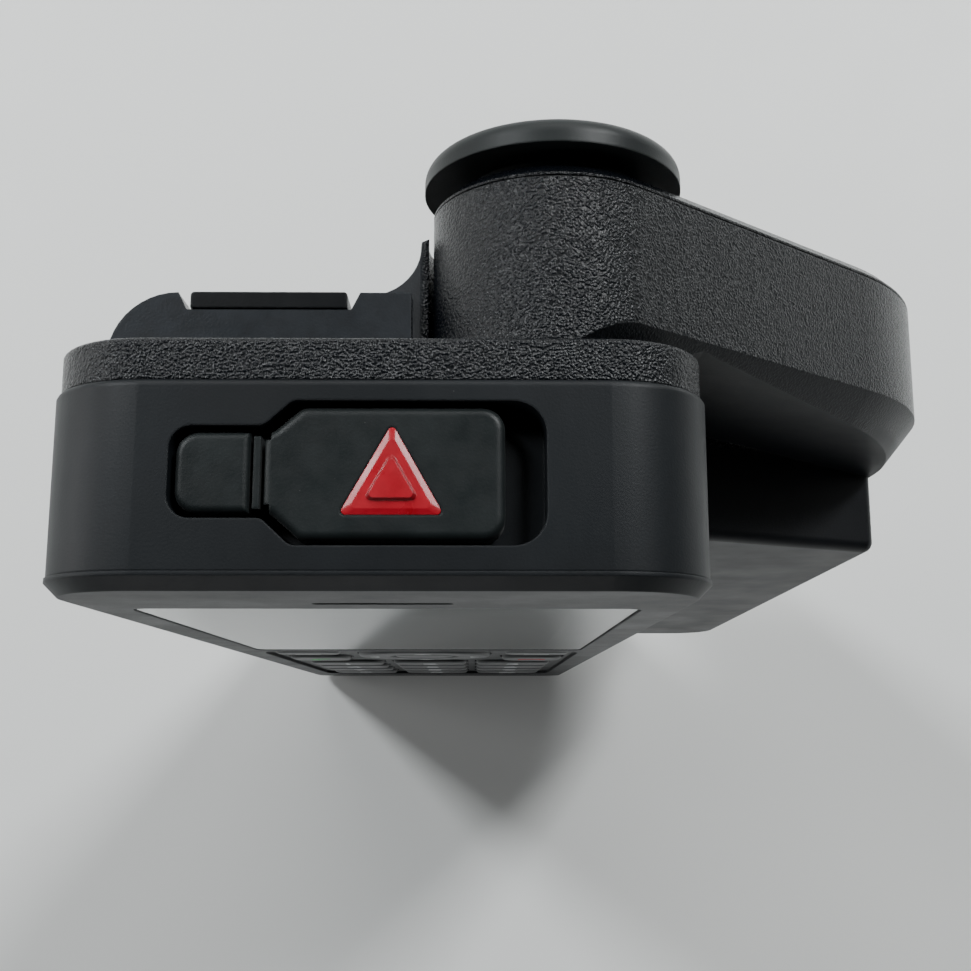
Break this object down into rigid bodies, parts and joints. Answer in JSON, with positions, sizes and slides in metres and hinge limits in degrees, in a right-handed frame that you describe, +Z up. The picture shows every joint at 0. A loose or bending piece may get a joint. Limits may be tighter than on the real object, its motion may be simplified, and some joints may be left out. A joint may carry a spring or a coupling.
{
  "type": "satellite handset with gps receiver",
  "caption": "Rugged handheld satellite navigator and handset with a folding antenna paddle, display, keypad and an emergency button under a flap.",
  "frame": {"origin": "centre of the handset's width on its flat base, 12 mm behind the display face", "axes": "+Z up the handset's length to the end with the emergency flap, display faces -Y, antenna folded on the +X side"},
  "size_m": [0.0769, 0.0362, 0.169],
  "materials": {
    "housing_smooth": "fine matt charcoal moulding",
    "housing_grained": "black leather-grained moulding with a soft shine",
    "window": "clear cover window with a dark tint",
    "lcd": "unlit display panel",
    "silicone": "black silicone rubber",
    "spring_steel": "stainless steel",
    "circuit_board": "green solder mask",
    "inner_plastic": "dark engineering plastic",
    "plated_steel": "tin-plated sheet",
    "ceramic_patch": "fired ceramic with a silver face",
    "battery_wrap": "black battery sleeve",
    "gold_contact": "gold-plated contacts",
    "latch_plastic": "smooth black moulding",
    "flap_rubber": "soft-touch dark charcoal elastomer",
    "warning_red": "satin warning red",
    "cap_plastic": "smooth satin black moulding",
    "copper_film": "copper on polyimide film",
    "lead_jacket": "black coaxial lead",
    "key_rubber": null
  },
  "bodies": {
    "handset": {"front_housing": "housing_smooth", "fascia": "housing_smooth", "display_lens": "window", "lcd_module": "lcd", "keypad_mat": "silicone", "dome_sheet": "spring_steel", "volume_board": "circuit_board", "audio_jack": "inner_plastic", "usb_socket": "plated_steel", "main_board": "circuit_board", "shield_cans": "plated_steel", "earpiece_speaker": "inner_plastic", "microphone": "plated_steel", "loudspeaker": "inner_plastic", "vibration_motor": "plated_steel", "gps_patch_antenna": "ceramic_patch", "sim_holder": "plated_steel", "rear_housing": "housing_grained", "housing_seal": "silicone", "housing_screws": "spring_steel", "battery_pack": "battery_wrap", "battery_contacts": "gold_contact", "sos_anchor": "flap_rubber", "sos_switch": "plated_steel", "pivot_shaft": "spring_steel", "friction_washer": "spring_steel", "pivot_nut": "spring_steel"},
    "antenna": {"antenna_shell": "housing_grained", "antenna_cover": "housing_grained", "antenna_bush": "inner_plastic", "pivot_cap": "cap_plastic", "antenna_former": "inner_plastic", "antenna_element": "copper_film", "antenna_lead": "lead_jacket"},
    "sos_flap": {"sos_flap": "flap_rubber", "sos_emblem": "warning_red"},
    "key_1": {"key_1": "key_rubber"},
    "key_2": {"key_2": "key_rubber"},
    "key_3": {"key_3": "key_rubber"},
    "key_4": {"key_4": "key_rubber"},
    "key_5": {"key_5": "key_rubber"},
    "key_6": {"key_6": "key_rubber"},
    "key_7": {"key_7": "key_rubber"},
    "key_8": {"key_8": "key_rubber"},
    "key_9": {"key_9": "key_rubber"},
    "key_star": {"key_star": "key_rubber"},
    "key_0": {"key_0": "key_rubber"},
    "key_hash": {"key_hash": "key_rubber"},
    "key_soft_left": {"key_soft_left": "key_rubber"},
    "key_soft_right": {"key_soft_right": "key_rubber"},
    "key_call": {"key_call": "key_rubber"},
    "key_end": {"key_end": "key_rubber"},
    "nav_ring": {"nav_ring": "key_rubber"},
    "nav_select": {"nav_select": "key_rubber"},
    "volume_up": {"volume_up": "silicone"},
    "volume_down": {"volume_down": "silicone"},
    "port_cover": {"port_cover": "silicone"},
    "battery_cover": {"battery_cover": "housing_grained"},
    "battery_latch": {"battery_latch": "latch_plastic"},
    "sos_button": {"sos_button": "warning_red"}
  },
  "joints": [
    {"name": "antenna_swing", "type": "hinge", "parent": "handset", "child": "antenna", "pos_m": [0.0134, 0.012, 0.1561], "axis": [0, -1, 0], "range_deg": [0, 135]},
    {"name": "sos_flap_lift", "type": "hinge", "parent": "handset", "child": "sos_flap", "pos_m": [-0.0072, -0.0038, 0.16815], "axis": [0, -1, 0], "range_deg": [0, 90], "stiffness_Nm_per_rad": 0.0004},
    {"name": "sos_button_press", "type": "slide", "parent": "handset", "child": "sos_button", "axis": [0, 0, -1], "range_m": [0, 0.0005], "stiffness_N_per_m": 600},
    {"name": "port_cover_open", "type": "hinge", "parent": "handset", "child": "port_cover", "pos_m": [-0.02396, -0.00543, 0.057], "axis": [0, 0, 1], "range_deg": [0, 100]},
    {"name": "battery_latch_slide", "type": "slide", "parent": "handset", "child": "battery_latch", "axis": [0, 0, 1], "range_m": [0, 0.003]},
    {"name": "battery_cover_lift", "type": "slide", "parent": "handset", "child": "battery_cover", "axis": [0, 1, 0], "range_m": [0, 0.02]},
    {"name": "key_1_press", "type": "slide", "parent": "handset", "child": "key_1", "axis": [0, 1, 0], "range_m": [0, 0.0004], "stiffness_N_per_m": 400},
    {"name": "key_2_press", "type": "slide", "parent": "handset", "child": "key_2", "axis": [0, 1, 0], "range_m": [0, 0.0004], "stiffness_N_per_m": 400},
    {"name": "key_3_press", "type": "slide", "parent": "handset", "child": "key_3", "axis": [0, 1, 0], "range_m": [0, 0.0004], "stiffness_N_per_m": 400},
    {"name": "key_4_press", "type": "slide", "parent": "handset", "child": "key_4", "axis": [0, 1, 0], "range_m": [0, 0.0004], "stiffness_N_per_m": 400},
    {"name": "key_5_press", "type": "slide", "parent": "handset", "child": "key_5", "axis": [0, 1, 0], "range_m": [0, 0.0004], "stiffness_N_per_m": 400},
    {"name": "key_6_press", "type": "slide", "parent": "handset", "child": "key_6", "axis": [0, 1, 0], "range_m": [0, 0.0004], "stiffness_N_per_m": 400},
    {"name": "key_7_press", "type": "slide", "parent": "handset", "child": "key_7", "axis": [0, 1, 0], "range_m": [0, 0.0004], "stiffness_N_per_m": 400},
    {"name": "key_8_press", "type": "slide", "parent": "handset", "child": "key_8", "axis": [0, 1, 0], "range_m": [0, 0.0004], "stiffness_N_per_m": 400},
    {"name": "key_9_press", "type": "slide", "parent": "handset", "child": "key_9", "axis": [0, 1, 0], "range_m": [0, 0.0004], "stiffness_N_per_m": 400},
    {"name": "key_star_press", "type": "slide", "parent": "handset", "child": "key_star", "axis": [0, 1, 0], "range_m": [0, 0.0004], "stiffness_N_per_m": 400},
    {"name": "key_0_press", "type": "slide", "parent": "handset", "child": "key_0", "axis": [0, 1, 0], "range_m": [0, 0.0004], "stiffness_N_per_m": 400},
    {"name": "key_hash_press", "type": "slide", "parent": "handset", "child": "key_hash", "axis": [0, 1, 0], "range_m": [0, 0.0004], "stiffness_N_per_m": 400},
    {"name": "key_soft_left_press", "type": "slide", "parent": "handset", "child": "key_soft_left", "axis": [0, 1, 0], "range_m": [0, 0.0004], "stiffness_N_per_m": 400},
    {"name": "key_soft_right_press", "type": "slide", "parent": "handset", "child": "key_soft_right", "axis": [0, 1, 0], "range_m": [0, 0.0004], "stiffness_N_per_m": 400},
    {"name": "key_call_press", "type": "slide", "parent": "handset", "child": "key_call", "axis": [0, 1, 0], "range_m": [0, 0.0004], "stiffness_N_per_m": 400},
    {"name": "key_end_press", "type": "slide", "parent": "handset", "child": "key_end", "axis": [0, 1, 0], "range_m": [0, 0.0004], "stiffness_N_per_m": 400},
    {"name": "nav_ring_press", "type": "slide", "parent": "handset", "child": "nav_ring", "axis": [0, 1, 0], "range_m": [0, 0.0004], "stiffness_N_per_m": 400},
    {"name": "nav_select_press", "type": "slide", "parent": "handset", "child": "nav_select", "axis": [0, 1, 0], "range_m": [0, 0.0004], "stiffness_N_per_m": 400},
    {"name": "volume_up_press", "type": "slide", "parent": "handset", "child": "volume_up", "axis": [1, 0, 0], "range_m": [0, 0.0004], "stiffness_N_per_m": 400},
    {"name": "volume_down_press", "type": "slide", "parent": "handset", "child": "volume_down", "axis": [1, 0, 0], "range_m": [0, 0.0004], "stiffness_N_per_m": 400}
  ]
}
